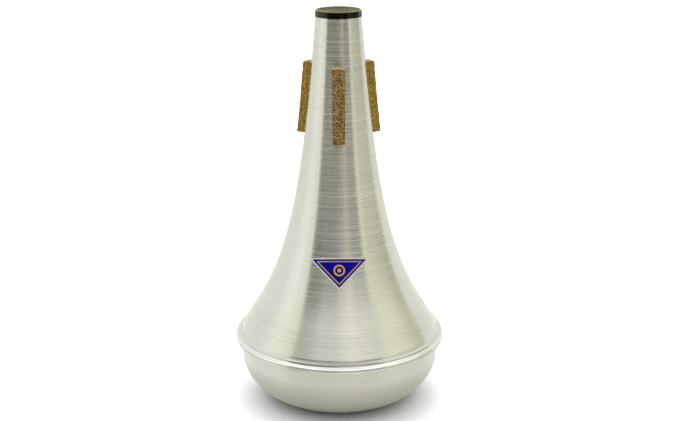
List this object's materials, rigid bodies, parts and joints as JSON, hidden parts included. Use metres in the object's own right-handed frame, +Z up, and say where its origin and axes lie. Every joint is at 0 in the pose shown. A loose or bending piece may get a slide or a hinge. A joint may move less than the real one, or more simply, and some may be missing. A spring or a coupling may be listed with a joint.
{
  "type": "bass trombone straight mute",
  "caption": "Straight mute for a bass trombone: flared aluminium cone crimped into a rounded bowl, cork strips, edge strip round the open mouth.",
  "frame": {"origin": "centre of the flat foot of the bowl, where the axis of the mute meets the surface it stands on", "axes": "+Z up along the axis, from the bowl to the open mouth; the front cork and the label face -Y"},
  "size_m": [0.16, 0.16, 0.2964],
  "materials": {
    "brushed_aluminium": "fine circumferential brushing",
    "satin_aluminium": "satin, spun",
    "black_edge_strip": "satin black",
    "composition_cork": "agglomerated cork, cut faces",
    "label_face": "printed blue film with a cream edge"
  },
  "bodies": {
    "root": {"body_cone": "brushed_aluminium", "end_bowl": "satin_aluminium", "mouth_trim": "black_edge_strip", "cork_front": "composition_cork", "cork_left": "composition_cork", "cork_right": "composition_cork", "label_plate": "label_face"}
  },
  "joints": []
}
